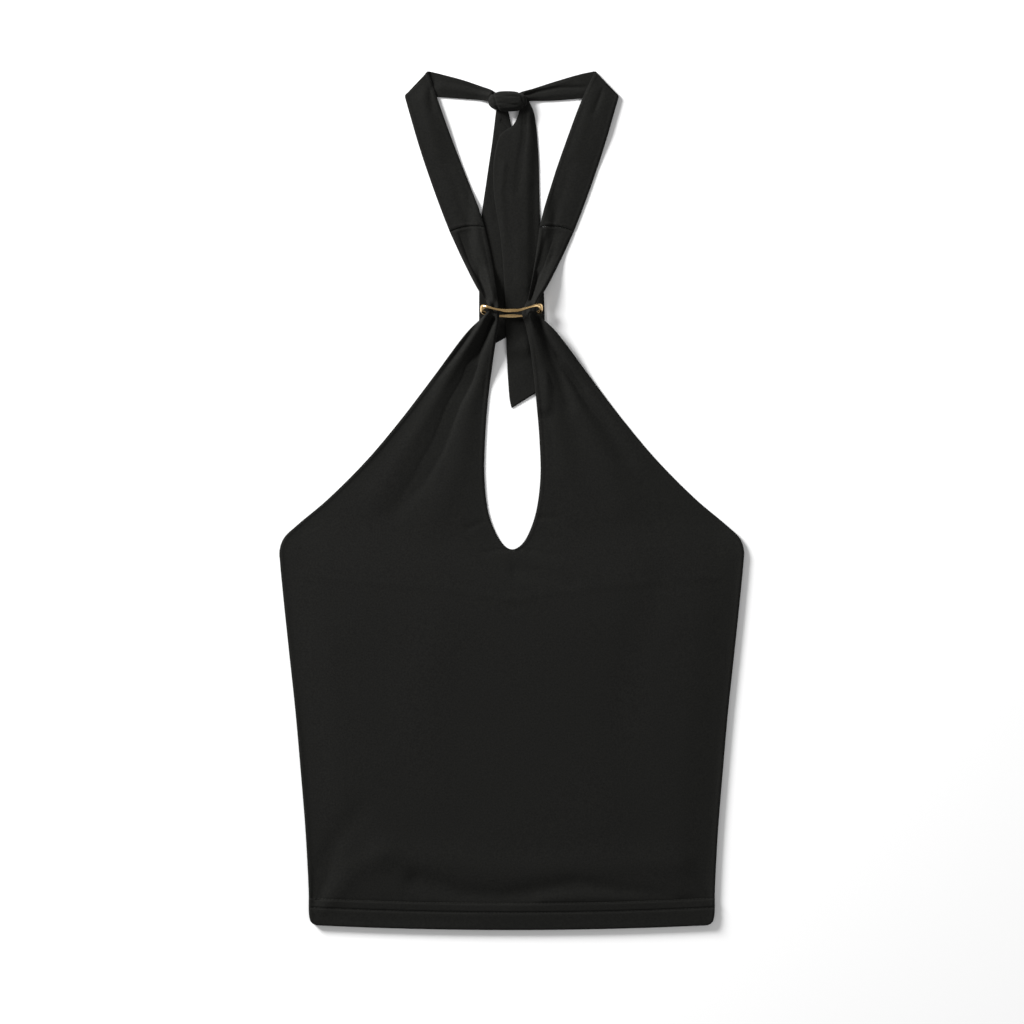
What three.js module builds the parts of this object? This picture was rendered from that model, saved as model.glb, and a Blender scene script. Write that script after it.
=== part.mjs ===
// A halter top lying flat: a front panel with a keyhole, whose two upper halves are gathered
// through a metal ring, a back panel under it, and two neck straps that fold over at the
// shoulders and are tied in a knot behind the neck, with two free tails.
// Millimetres. +Y runs from the hem to the neck, +Z up from the surface it lies on, and the
// origin is under the middle of the garment. "left" is the -X side.

import * as THREE from 'three';

// ---------------------------------------------------------------- driving dimensions
const CLOTH_WALL = 1.4;          // a panel, or a doubled strap pressed flat
const HEM_WALL = 2.2;            // a panel where its hem is turned up
const HEM_DEPTH = 20;            // height of the turned hem
const HEM_STEP = 4;              // length over which the hem's wall grows
const SEAM_GAP = 0.3;            // clearance between pieces that touch or are sewn together

const BACK_INSET = 0.5;          // the back panel's edge lies this far inside the front's
const BACK_SCOOP_Y = -77.7;      // lowest point of the back panel's top edge
const BACK_SHOULDER_Y = -60;     // its height near the side seams
const BACK_SCOOP_POWER = 1.8;
const BACK_CORNER = { x: 178.6, y: -47.5 };
const BACK_CORNER_RISE_START = 0.88;  // share of the half width past which the edge rises

const RING_Y = 147;              // the ring lies across the garment here
const RING_LIFT = 7.3;           // underside of the gathered cloth where it passes the ring
const RING_LIFT_START = 84;      // the cloth leaves the surface here, on the way up to the ring
const RING_LIFT_END = 196;       // and is down again here
const RING_FLAT = 6;             // half length of the level stretch inside the ring

const TAIL_HALF_WIDTH = 26;      // the two tails together reach this far to each side
const LEFT_TAIL_END_Y = 118;
const RIGHT_TAIL_END_Y = 72;
const LEFT_TAIL_INNER_X = 3;     // edge of the left tail, under the right tail
const DRAPE = 8;                 // length over which cloth comes down beside what it lies on
const BACK_COVER = 18;           // the front stays level this far past the back's top edge
const BACK_DRAPE = 24;           // and then comes down over this length

const CLOTH_COLOUR = 0x1e1e1d;
const METAL_COLOUR = 0xc8a05a;

// ---------------------------------------------------------------- outline tables
// Sections of the front panel from the hem to the strap seams. A section is a line from the
// outer edge to the inner edge, which is the middle below the keyhole and the keyhole's edge
// above it. steps is the number of grid rows up to the next section.
const FRONT_SECTIONS = [
  { name: 'hem edge', outerX: 152.6, outerY: -331.0, innerY: -334.7, leftX: 0, rightX: 0, steps: 1 },
  { name: 'hem corner', outerX: 156.4, outerY: -328.6, innerY: -331.5, leftX: 0, rightX: 0, steps: 1 },
  { name: 'side start', outerX: 157.9, outerY: -323.5, innerY: -325, leftX: 0, rightX: 0, steps: 2 },
  { name: 'hem top', outerX: 158.3, outerY: -304, innerY: -304, leftX: 0, rightX: 0, steps: 4 },
  { name: 'hip', outerX: 160.8, outerY: -257, innerY: -257, leftX: 0, rightX: 0, steps: 3 },
  { name: 'lower waist', outerX: 164.6, outerY: -210, innerY: -210, leftX: 0, rightX: 0, steps: 3 },
  { name: 'waist', outerX: 168.7, outerY: -163.5, innerY: -163.5, leftX: 0, rightX: 0, steps: 3 },
  { name: 'rib', outerX: 173.7, outerY: -117, innerY: -117, leftX: 0, rightX: 0, steps: 3 },
  { name: 'under bust', outerX: 178.6, outerY: -70, innerY: -72, leftX: 0, rightX: 0, steps: 2 },
  { name: 'side seam top', outerX: 180.7, outerY: -47, innerY: -50, leftX: 0.2, rightX: 0.2, steps: 1 },
  { name: 'keyhole bottom', outerX: 180.9, outerY: -38.7, innerY: -38.3, leftX: 0.4, rightX: 0.4, steps: 1 },
  { name: 'underarm', outerX: 177.6, outerY: -29.4, innerY: -36.2, leftX: -4.6, rightX: 5.6, steps: 1 },
  { name: 'armhole 1', outerX: 166.5, outerY: -18.6, innerY: -30.0, leftX: -9.9, rightX: 11.0, steps: 2 },
  { name: 'armhole 2', outerX: 144.1, outerY: 0.3, innerY: -11.5, leftX: -17.7, rightX: 18.3, steps: 3 },
  { name: 'armhole 3', outerX: 112.9, outerY: 31.5, innerY: 16.0, leftX: -21.2, rightX: 22.2, steps: 3 },
  { name: 'armhole 4', outerX: 86.7, outerY: 62.7, innerY: 45.0, leftX: -20.9, rightX: 21.7, steps: 3 },
  { name: 'armhole 5', outerX: 60.5, outerY: 97.0, innerY: 80.0, leftX: -18.3, rightX: 18.8, steps: 3 },
  { name: 'armhole 6', outerX: 34.5, outerY: 131.0, innerY: 118.0, leftX: -13.2, rightX: 14.4, steps: 2 },
  { name: 'below ring', outerX: 24.0, outerY: 141.2, innerY: 136.0, leftX: -10.2, rightX: 13.2, steps: 1 },
  { name: 'ring', outerX: 18.9, outerY: 147.0, innerY: 147.0, leftX: -9.4, rightX: 12.4, steps: 1 },
  { name: 'above ring', outerX: 19.8, outerY: 154.5, innerY: 156.0, leftX: -11.0, rightX: 13.4, steps: 1 },
  { name: 'fan', outerX: 26.2, outerY: 163.7, innerY: 170.0, leftX: -12.8, rightX: 15.3, steps: 2 },
  { name: 'fan top', outerX: 38.3, outerY: 187.5, innerY: 192.0, leftX: -16.3, rightX: 18.9, steps: 2 },
  { name: 'strap seam', outerX: 48.3, outerY: 209.2, innerY: 212.4, leftX: -21.0, rightX: 21.6, steps: 0 },
];
const FRONT_COLUMNS = 9;          // grid columns across one half
const SEAM_BOW = 2.6;             // the strap seams bow up in the middle
const SEAM_BOW_START_Y = 192;     // and the bow fades in from here
const SEAM_BOW_FADE = 12;
const HEM_BOW_END_Y = -250;       // above this the sections are straight
const HEM_BOW_FADE = 60;
const BACK_COLUMNS = 16;
const BACK_ROWS = 12;             // grid rows of the back panel above its side start
const BACK_CORNER_ROWS = 2;       // table rows that round its lower corners

// Soft ridges that stand up from the front panel. Each follows a line of points; height and
// width go from the first to the last of them.
const FRONT_RIDGES = [
  { name: 'left outer gather', line: [[-17.2, 152], [-19.6, 142.6], [-52, 91.5], [-91, 25.7], [-108, 1.1]],
    height: [2.2, 0.7], width: [2.6, 10] },
  { name: 'left inner gather', line: [[-11.6, 152], [-12.6, 135], [-22, 100], [-36, 56], [-62, -13]],
    height: [2.0, 0.8], width: [2.4, 13] },
  { name: 'right inner gather', line: [[14.2, 152], [15.8, 134], [24, 108], [35, 70], [44, 20]],
    height: [2.0, 0.6], width: [2.2, 10] },
  { name: 'right outer gather', line: [[18.0, 152], [22.5, 133], [38, 103], [62, 62], [85, 0]],
    height: [2.2, 0.8], width: [2.4, 14] },
  { name: 'right edge gather', line: [[30, 133], [48, 108], [72, 74], [104, 32]],
    height: [1.2, 0.4], width: [3.5, 8] },
  { name: 'left fan outer', line: [[-18.5, 156], [-27, 172], [-41, 204]],
    height: [2.0, 0.6], width: [2.4, 4] },
  { name: 'left fan inner', line: [[-13, 156], [-17, 180], [-25, 206]],
    height: [1.8, 0.6], width: [2.2, 4] },
  { name: 'right fan outer', line: [[19, 156], [27, 172], [40, 204]],
    height: [2.0, 0.6], width: [2.4, 4] },
  { name: 'right fan inner', line: [[15, 156], [18, 180], [25, 206]],
    height: [1.8, 0.6], width: [2.2, 4] },
  { name: 'hem ridge', line: [[-140, -300], [-108, -277], [-60, -282], [0, -286], [120, -283]],
    height: [1.6, 1.0], width: [9, 12] },
];

// Stations of a strap from its seam to the shoulder crease, on the top layer. Left and right
// differ a little, as the straps lie on their own.
const STRAP_FRONT = [
  { name: 'seam', outerX: 48.5, outerY: 209.7, leftX: 21.1, rightX: 21.7, innerY: 212.9, steps: 3 },
  { name: 'low', outerX: 54.7, outerY: 225.5, leftX: 25.8, rightX: 25.4, innerY: 228, steps: 3 },
  { name: 'middle', outerX: 64.3, outerY: 252, leftX: 36.4, rightX: 33.7, innerY: 255, steps: 3 },
  { name: 'upper', outerX: 73.1, outerY: 279, leftX: 47.6, rightX: 43.9, innerY: 284, steps: 2 },
  { name: 'near crease', outerX: 79.2, outerY: 300, leftX: 56.6, rightX: 53.3, innerY: 309, steps: 2 },
  { name: 'crease', outerX: 83.6, outerY: 315.3, leftX: 65.3, rightX: 65.0, innerY: 334.7, steps: 0 },
];
// Stations of a strap from the crease to the knot, on the under layer.
const STRAP_BACK = {
  left: [
    { name: 'crease', topX: 65.3, topY: 334.7, bottomX: 83.6, bottomY: 315.3, steps: 2 },
    { name: 'neck', topX: 54.5, topY: 332.2, bottomX: 62.0, bottomY: 314.6, steps: 2 },
    { name: 'nape', topX: 36.0, topY: 327.2, bottomX: 39.0, bottomY: 313.0, steps: 2 },
    { name: 'knot', topX: 18.6, topY: 319.8, bottomX: 18.8, bottomY: 311.9, steps: 0 },
  ],
  right: [
    { name: 'crease', topX: 65.0, topY: 334.7, bottomX: 83.6, bottomY: 315.3, steps: 2 },
    { name: 'neck', topX: 53.0, topY: 332.2, bottomX: 62.0, bottomY: 313.8, steps: 2 },
    { name: 'nape', topX: 31.0, topY: 325.8, bottomX: 34.0, bottomY: 311.6, steps: 2 },
    { name: 'knot', topX: 9.8, topY: 318.6, bottomX: 10.0, bottomY: 310.9, steps: 0 },
  ],
};
const STRAP_COLUMNS = 5;
const STRAP_CAMBER = 0.9;         // the doubled strip is a little fuller in its middle
const OVER_UNDER_START = 0.42;    // share of the top layer's length where it lifts over the under layer
const OVER_UNDER_LENGTH = 0.3;
const CAMBER_END = 0.98;          // the camber fades out before the crease
const CAMBER_FADE = 0.2;
const KNOT_ENTRY_LIFT = 1.6;      // the strap ends rise this far into the knot
const KNOT_ENTRY_START = 0.7;     // share of the under layer's length where that starts
const FOLD_INNER_RADIUS = 0.15;
const FOLD_STEPS = 4;

// Stations of the tails from the knot down: both edges of the strip.
const TAIL_LEFT = [
  { leftX: -12.2, leftY: 303.0, rightX: -4.8, rightY: 303.6, steps: 2 },
  { leftX: -13.2, leftY: 296.0, rightX: -1.2, rightY: 297.0, steps: 2 },
  { leftX: -15.2, leftY: 280.0, rightX: 1.6, rightY: 280.0, steps: 3 },
  { leftX: -19.6, leftY: 250.0, rightX: 3, rightY: 250.0, steps: 3 },
  { leftX: -23.6, leftY: 220.0, rightX: 3, rightY: 220.0, steps: 3 },
  { leftX: -25.3, leftY: 178.0, rightX: 3, rightY: 180.0, steps: 3 },
  { leftX: -25.5, leftY: 142.0, rightX: 3, rightY: 150.0, steps: 2 },
  { leftX: -25.3, leftY: 115.3, rightX: 3, rightY: 131.3, steps: 0 },
];
const TAIL_RIGHT = [
  { leftX: 10.2, leftY: 309.2, rightX: 13.6, rightY: 310.3, steps: 1 },
  { leftX: 6.7, leftY: 303.0, rightX: 17.2, rightY: 302.6, steps: 2 },
  { leftX: 1.4, leftY: 292.4, rightX: 19.6, rightY: 289.0, steps: 2 },
  { leftX: -6.8, leftY: 268.0, rightX: 21.1, rightY: 265.5, steps: 3 },
  { leftX: -12.2, leftY: 239.7, rightX: 21.6, rightY: 240.0, steps: 3 },
  { leftX: -8.0, leftY: 203.9, rightX: 22.8, rightY: 204.0, steps: 3 },
  { leftX: -5.2, leftY: 156.3, rightX: 25.2, rightY: 160.0, steps: 3 },
  { leftX: -4.2, leftY: 121.0, rightX: 26.0, rightY: 128.0, steps: 3 },
  { leftX: -1.6, leftY: 78.3, rightX: 26.4, rightY: 94.0, steps: 1 },
  { leftX: -0.1, leftY: 71.9, rightX: 26.4, rightY: 88.4, steps: 0 },
];
const TAIL_COLUMNS = 5;

const KNOT = { centre: [-4.4, 311.1, 4.2], radii: [13.9, 7.4, 5.4], squareness: 0.75, around: 20, up: 12 };

// The ring's centre line, once round, with its section's half sizes: round is across the bar
// in the plane of the ring, and along is the half width seen from above.
const RING_STATIONS = [
  { x: 0.0, y: 147.0, z: 13.6, round: 1.4, along: 1.5 },
  { x: 7.3, y: 149.4, z: 13.6, round: 1.3, along: 1.3 },
  { x: 14.5, y: 151.3, z: 13.2, round: 1.2, along: 1.2 },
  { x: 20.3, y: 151.6, z: 11.9, round: 1.2, along: 1.6 },
  { x: 23.1, y: 149.4, z: 9.4, round: 1.3, along: 2.3 },
  { x: 22.6, y: 146.4, z: 6.4, round: 1.3, along: 1.9 },
  { x: 18.0, y: 144.0, z: 5.0, round: 1.3, along: 1.5 },
  { x: 7.0, y: 143.3, z: 4.9, round: 1.4, along: 1.5 },
  { x: -7.0, y: 143.3, z: 4.9, round: 1.4, along: 1.5 },
  { x: -18.0, y: 143.6, z: 5.0, round: 1.3, along: 1.5 },
  { x: -22.9, y: 145.8, z: 6.4, round: 1.3, along: 1.9 },
  { x: -23.4, y: 148.4, z: 9.4, round: 1.3, along: 2.3 },
  { x: -20.6, y: 150.5, z: 11.9, round: 1.2, along: 1.6 },
  { x: -14.0, y: 149.8, z: 13.2, round: 1.2, along: 1.2 },
  { x: -6.5, y: 147.7, z: 13.6, round: 1.3, along: 1.3 },
];
const RING_STEPS = 60;
const RING_SIDES = 10;

// ---------------------------------------------------------------- small helpers
const mix = (a, b, t) => a + (b - a) * t;

// 0 where distance is under 0, 1 past length, and smooth between.
const ramp = (distance, length) => THREE.MathUtils.smoothstep(distance, 0, length);

// Smooth curve through table rows. point(row) gives the place of a row.
function curveThrough(rows, point) {
  return new THREE.CatmullRomCurve3(rows.map(point), false, 'centripetal');
}

// Curve parameters for a table whose rows say how many grid steps follow them.
function stationParameters(rows) {
  const parameters = [0];
  const last = rows.length - 1;
  for (let row = 0; row < last; row += 1) {
    for (let step = 1; step <= rows[row].steps; step += 1) {
      parameters.push((row + step / rows[row].steps) / last);
    }
  }
  return parameters;
}

// Distance in plan from (x, y) to a line of points, and how far along it the nearest place is.
function nearestOnLine(line, x, y) {
  let best = { distance: Infinity, along: 0 };
  for (let i = 0; i < line.length - 1; i += 1) {
    const [ax, ay] = line[i];
    const [bx, by] = line[i + 1];
    const run = (bx - ax) ** 2 + (by - ay) ** 2;
    const t = THREE.MathUtils.clamp(((x - ax) * (bx - ax) + (y - ay) * (by - ay)) / run, 0, 1);
    const distance = Math.hypot(x - mix(ax, bx, t), y - mix(ay, by, t));
    if (distance < best.distance) {
      best = { distance, along: (i + t) / (line.length - 1) };
    }
  }
  return best;
}

// ---------------------------------------------------------------- sheets and walls
// A sheet is a list of points and triangles, seen anticlockwise from its face side.
function gridSheet(rowLines) {
  const points = rowLines.flat();
  const columns = rowLines[0].length;
  const triangles = [];
  for (let row = 0; row < rowLines.length - 1; row += 1) {
    for (let column = 0; column < columns - 1; column += 1) {
      const a = row * columns + column;
      const b = a + columns;
      triangles.push([a, a + 1, b + 1], [a, b + 1, b]);
    }
  }
  return { points, triangles };
}

// One sheet from several, with the points that coincide shared.
function joinSheets(sheets) {
  const points = [];
  const triangles = [];
  const known = new Map();
  for (const sheet of sheets) {
    const index = sheet.points.map((point) => {
      const key = point.toArray().map((value) => value.toFixed(2)).join(' ');
      if (!known.has(key)) {
        known.set(key, points.length);
        points.push(point);
      }
      return known.get(key);
    });
    triangles.push(...sheet.triangles.map((corners) => corners.map((corner) => index[corner])));
  }
  return { points, triangles };
}

function faceNormals(sheet) {
  const normals = sheet.points.map(() => new THREE.Vector3());
  for (const [a, b, c] of sheet.triangles) {
    const [pa, pb, pc] = [sheet.points[a], sheet.points[b], sheet.points[c]];
    const normal = pb.clone().sub(pa).cross(pc.clone().sub(pa));
    for (const corner of [a, b, c]) {
      normals[corner].add(normal);
    }
  }
  return normals.map((normal) => normal.normalize());
}

// Closed wall that stands on a sheet: its far side is moved out along the face normals by
// thickness(point), and its open edges are joined by a rim.
function wall(sheet, thickness) {
  const count = sheet.points.length;
  const normals = faceNormals(sheet);
  const outer = sheet.points.map((point, i) => point.clone().addScaledVector(normals[i], thickness(point)));
  const index = [];
  const edges = new Map();
  for (const [a, b, c] of sheet.triangles) {
    index.push(a + count, b + count, c + count, a, c, b);
    for (const [from, to] of [[a, b], [b, c], [c, a]]) {
      edges.set(`${from} ${to}`, [from, to]);
    }
  }
  for (const [from, to] of edges.values()) {
    if (!edges.has(`${to} ${from}`)) {
      index.push(from, to, to + count, from, to + count, from + count);
    }
  }
  const geometry = new THREE.BufferGeometry();
  const places = [...sheet.points, ...outer].flatMap((point) => point.toArray());
  geometry.setAttribute('position', new THREE.Float32BufferAttribute(places, 3));
  geometry.setIndex(index);
  geometry.computeVertexNormals();
  return geometry;
}

const clothThickness = () => CLOTH_WALL;

// ---------------------------------------------------------------- what lies under what
function backTopY(x) {
  const toSide = Math.min(1, Math.abs(x) / BACK_CORNER.x);
  const scoop = (BACK_SHOULDER_Y - BACK_SCOOP_Y) * (1 - toSide) ** BACK_SCOOP_POWER;
  const pastStart = toSide - BACK_CORNER_RISE_START;
  const rise = (BACK_CORNER.y - BACK_SHOULDER_Y) * ramp(pastStart, 1 - BACK_CORNER_RISE_START);
  return BACK_SHOULDER_Y - scoop + rise;
}

// Height of the underside of a piece that lies over a tail, and comes down beside it.
const liftOverTails = (x) => (CLOTH_WALL + SEAM_GAP) * ramp(TAIL_HALF_WIDTH + DRAPE - Math.abs(x), DRAPE);

// Height of the underside of the front panel at a place in plan, without its ridges.
function frontRestHeight(x, y) {
  const pastBack = y - backTopY(x) - BACK_COVER;
  const onBack = (HEM_WALL + SEAM_GAP) * ramp(BACK_DRAPE - pastBack, BACK_DRAPE);
  const tailEnd = x < 0 ? LEFT_TAIL_END_Y : RIGHT_TAIL_END_Y;
  const onTails = liftOverTails(x) * ramp(y - tailEnd + DRAPE, DRAPE);
  const rise = ramp(y - RING_LIFT_START, RING_Y - RING_FLAT - RING_LIFT_START);
  const fall = ramp(RING_LIFT_END - y, RING_LIFT_END - RING_Y - RING_FLAT);
  return Math.max(onBack, onTails, RING_LIFT * Math.min(rise, fall));
}

function ridgeHeight(ridges, x, y) {
  let height = 0;
  for (const ridge of ridges) {
    const { distance, along } = nearestOnLine(ridge.line, x, y);
    const width = mix(ridge.width[0], ridge.width[1], along);
    height += mix(ridge.height[0], ridge.height[1], along) * Math.exp(-((distance / width) ** 2));
  }
  return height;
}

// How far a strap seam stands above the line between its ends.
const seamBowAt = (across) => SEAM_BOW * 4 * across * (1 - across);

// ---------------------------------------------------------------- pieces
const sideSeamTopRow = FRONT_SECTIONS.findIndex((row) => row.name === 'side seam top');

function panelThickness(point) {
  const hemTop = FRONT_SECTIONS[0].innerY + HEM_DEPTH;
  return mix(CLOTH_WALL, HEM_WALL, ramp(hemTop - point.y, HEM_STEP));
}

function frontHalf(side) {
  const innerX = side < 0 ? 'leftX' : 'rightX';
  const place = (x, y) => new THREE.Vector3(x, y, 0);
  const outerEdge = curveThrough(FRONT_SECTIONS, (row) => place(side * row.outerX, row.outerY));
  const innerEdge = curveThrough(FRONT_SECTIONS, (row) => place(row[innerX], row.innerY));
  const sideSeamTop = FRONT_SECTIONS[sideSeamTopRow];
  const sections = stationParameters(FRONT_SECTIONS).map((t) => {
    const outer = outerEdge.getPoint(t);
    const inner = innerEdge.getPoint(t);
    if (inner.y < sideSeamTop.innerY) {
      inner.x = 0;
    }
    const hemBow = ramp(HEM_BOW_END_Y - outer.y, HEM_BOW_FADE) * (outer.y - inner.y);
    const nearSeam = ramp(outer.y - SEAM_BOW_START_Y, SEAM_BOW_FADE);
    const section = [];
    for (let column = 0; column <= FRONT_COLUMNS; column += 1) {
      const across = column / FRONT_COLUMNS;
      const x = mix(inner.x, outer.x, across);
      const bow = hemBow * (across ** 2 - across) + nearSeam * seamBowAt(across);
      const y = mix(inner.y, outer.y, across) + bow;
      section.push(new THREE.Vector3(x, y, frontRestHeight(x, y) + ridgeHeight(FRONT_RIDGES, x, y)));
    }
    return side < 0 ? section.reverse() : section;
  });
  return gridSheet(sections);
}

function frontPanel() {
  return wall(joinSheets([frontHalf(-1), frontHalf(1)]), panelThickness);
}

function backPanel() {
  const lower = FRONT_SECTIONS.slice(0, sideSeamTopRow + 1);
  const sideEdge = curveThrough(lower, (row) => new THREE.Vector3(row.outerX, row.outerY, 0));
  const sheet = [];
  const parameters = [];
  for (let row = 0; row < BACK_CORNER_ROWS; row += 1) {
    parameters.push(row / sideSeamTopRow);
  }
  for (let row = 0; row <= BACK_ROWS; row += 1) {
    parameters.push(mix(BACK_CORNER_ROWS / sideSeamTopRow, 1, row / BACK_ROWS));
  }
  for (const t of parameters) {
    const side = sideEdge.getPoint(t);
    const height = (side.y - lower[0].outerY) / (BACK_CORNER.y - lower[0].outerY);
    const section = [];
    for (let column = 0; column <= BACK_COLUMNS; column += 1) {
      const across = mix(-1, 1, column / BACK_COLUMNS);
      const x = across * (side.x - BACK_INSET);
      const hemY = mix(lower[0].innerY, lower[0].outerY, across ** 2) + BACK_INSET;
      section.push(new THREE.Vector3(x, mix(hemY, backTopY(x), Math.min(1, height)), 0));
    }
    sheet.push(section);
  }
  return wall(gridSheet(sheet), panelThickness);
}

// A strip of cloth between two edges, each given by a curve, lying at height(x, y).
function strip(leftEdge, rightEdge, parameters, columns, height) {
  return parameters.map((t) => {
    const left = leftEdge.getPoint(t);
    const right = rightEdge.getPoint(t);
    const line = [];
    for (let column = 0; column <= columns; column += 1) {
      const point = left.clone().lerp(right, column / columns);
      point.z = height(point.x, point.y, t, column / columns);
      line.push(point);
    }
    return line;
  });
}

// A neck strap: its top layer from the seam to the crease, the turn of the fold, and its
// under layer from the crease to the knot. The sheet is the inner face of the fold.
function neckStrap(side) {
  const name = side < 0 ? 'left' : 'right';
  const innerX = `${name}X`;
  const back = STRAP_BACK[name];
  const place = (x, y) => new THREE.Vector3(side * x, y, 0);
  const outerEdge = curveThrough(STRAP_FRONT, (row) => place(row.outerX, row.outerY));
  const innerEdge = curveThrough(STRAP_FRONT, (row) => place(row[innerX], row.innerY));
  const bottomEdge = curveThrough(back, (row) => place(row.bottomX, row.bottomY));
  const topEdge = curveThrough(back, (row) => place(row.topX, row.topY));
  const camber = (across) => STRAP_CAMBER * 4 * across * (1 - across);

  const innerFace = CLOTH_WALL + SEAM_GAP;
  const topLayer = strip(innerEdge, outerEdge, stationParameters(STRAP_FRONT), STRAP_COLUMNS,
    (x, y, t, across) => {
      const overUnder = innerFace * ramp(t - OVER_UNDER_START, OVER_UNDER_LENGTH);
      const bow = camber(across) * ramp(CAMBER_END - t, CAMBER_FADE);
      return Math.max(liftOverTails(x), overUnder) + bow;
    });
  topLayer[0].forEach((point, column) => {
    point.y += seamBowAt(column / STRAP_COLUMNS);
  });

  const [creaseIn, creaseOut] = [topLayer.at(-1)[0], topLayer.at(-1).at(-1)];
  const creaseRun = creaseOut.clone().sub(creaseIn).normalize();
  const outward = new THREE.Vector3(-creaseRun.y, creaseRun.x, 0).multiplyScalar(side);
  const reach = CLOTH_WALL + FOLD_INNER_RADIUS;
  topLayer.at(-1).forEach((point) => point.addScaledVector(outward, -reach));

  const fold = [];
  for (let step = 1; step < FOLD_STEPS; step += 1) {
    const turn = (Math.PI * step) / FOLD_STEPS;
    fold.push(topLayer.at(-1).map((point) => point.clone()
      .addScaledVector(outward, FOLD_INNER_RADIUS * Math.sin(turn))
      .setZ(innerFace - FOLD_INNER_RADIUS * (1 - Math.cos(turn)))));
  }

  const underLayer = strip(topEdge, bottomEdge, stationParameters(back), STRAP_COLUMNS,
    (x, y, t) => CLOTH_WALL + KNOT_ENTRY_LIFT * ramp(t - KNOT_ENTRY_START, 1 - KNOT_ENTRY_START));
  underLayer[0].forEach((point) => point.addScaledVector(outward, -reach));

  const lines = [...topLayer, ...fold, ...underLayer];
  return wall(gridSheet(side < 0 ? lines.map((line) => line.reverse()) : lines), clothThickness);
}

function tail(stations, height) {
  const leftEdge = curveThrough(stations, (row) => new THREE.Vector3(row.leftX, row.leftY, 0));
  const rightEdge = curveThrough(stations, (row) => new THREE.Vector3(row.rightX, row.rightY, 0));
  const lines = strip(leftEdge, rightEdge, stationParameters(stations), TAIL_COLUMNS, height);
  return wall(gridSheet(lines.reverse()), clothThickness);
}

// The right tail lies on the left one as far as that reaches, and comes down beside it.
function rightTailHeight(x, y) {
  const acrossLeft = ramp(LEFT_TAIL_INNER_X + 2 * DRAPE - x, DRAPE);
  const aboveLeftEnd = ramp(y - LEFT_TAIL_END_Y + DRAPE, DRAPE);
  return (CLOTH_WALL + SEAM_GAP) * acrossLeft * aboveLeftEnd;
}

// A soft lump with a flat underside.
function knot() {
  const { centre, radii, squareness, around, up } = KNOT;
  const geometry = new THREE.SphereGeometry(1, around, up).rotateX(Math.PI / 2);
  const place = geometry.getAttribute('position');
  const fuller = (value) => Math.sign(value) * Math.abs(value) ** squareness;
  for (let i = 0; i < place.count; i += 1) {
    const [x, y, z] = [place.getX(i), place.getY(i), place.getZ(i)];
    const fullZ = centre[2] + radii[2] * fuller(z);
    place.setXYZ(i, centre[0] + radii[0] * fuller(x), centre[1] + radii[1] * fuller(y), Math.max(0, fullZ));
  }
  return geometry;
}

// A closed bar along the ring's stations, with an oval section.
function ring() {
  const point = (row) => new THREE.Vector3(row.x, row.y, row.z);
  const path = new THREE.CatmullRomCurve3(RING_STATIONS.map(point), true, 'centripetal');
  const size = (row) => new THREE.Vector3(row.round, row.along, 0);
  const sizes = new THREE.CatmullRomCurve3(RING_STATIONS.map(size), true, 'centripetal');
  const places = [];
  const index = [];
  for (let step = 0; step < RING_STEPS; step += 1) {
    const t = step / RING_STEPS;
    const centre = path.getPoint(t);
    const across = path.getTangent(t).cross(new THREE.Vector3(0, 1, 0)).normalize();
    const along = across.clone().cross(path.getTangent(t)).normalize();
    const { x: roundSize, y: alongSize } = sizes.getPoint(t);
    for (let corner = 0; corner < RING_SIDES; corner += 1) {
      const angle = (2 * Math.PI * corner) / RING_SIDES;
      const place = centre.clone()
        .addScaledVector(across, roundSize * Math.cos(angle))
        .addScaledVector(along, alongSize * Math.sin(angle));
      places.push(...place.toArray());
      const a = step * RING_SIDES + corner;
      const b = step * RING_SIDES + ((corner + 1) % RING_SIDES);
      const wrap = RING_STEPS * RING_SIDES;
      const c = (b + RING_SIDES) % wrap;
      const d = (a + RING_SIDES) % wrap;
      index.push(a, d, c, a, c, b);
    }
  }
  const geometry = new THREE.BufferGeometry();
  geometry.setAttribute('position', new THREE.Float32BufferAttribute(places, 3));
  geometry.setIndex(index);
  geometry.computeVertexNormals();
  return geometry;
}

// ---------------------------------------------------------------- the garment
const cloth = new THREE.MeshStandardMaterial({ color: CLOTH_COLOUR, roughness: 0.95, metalness: 0 });
const metal = new THREE.MeshStandardMaterial({ color: METAL_COLOUR, roughness: 0.2, metalness: 1 });

const garment = new THREE.Group();

function addPiece(name, geometry, material) {
  const piece = new THREE.Mesh(geometry, material);
  piece.name = name;
  garment.add(piece);
}

addPiece('back_panel', backPanel(), cloth);
addPiece('front_panel', frontPanel(), cloth);
addPiece('neck_strap_left', neckStrap(-1), cloth);
addPiece('neck_strap_right', neckStrap(1), cloth);
addPiece('knot', knot(), cloth);
addPiece('tail_left', tail(TAIL_LEFT, () => 0), cloth);
addPiece('tail_right', tail(TAIL_RIGHT, rightTailHeight), cloth);
addPiece('ring', ring(), metal);

export default garment;
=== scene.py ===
"""A black jersey halter top lying flat, its front gathered through a gold-coloured ring.

Sizes in the tables are millimetres in the model's own frame: +Y from the hem to the neck,
+Z up from the surface. "left" is the -X side. Meshes are made in metres.
"""

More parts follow.
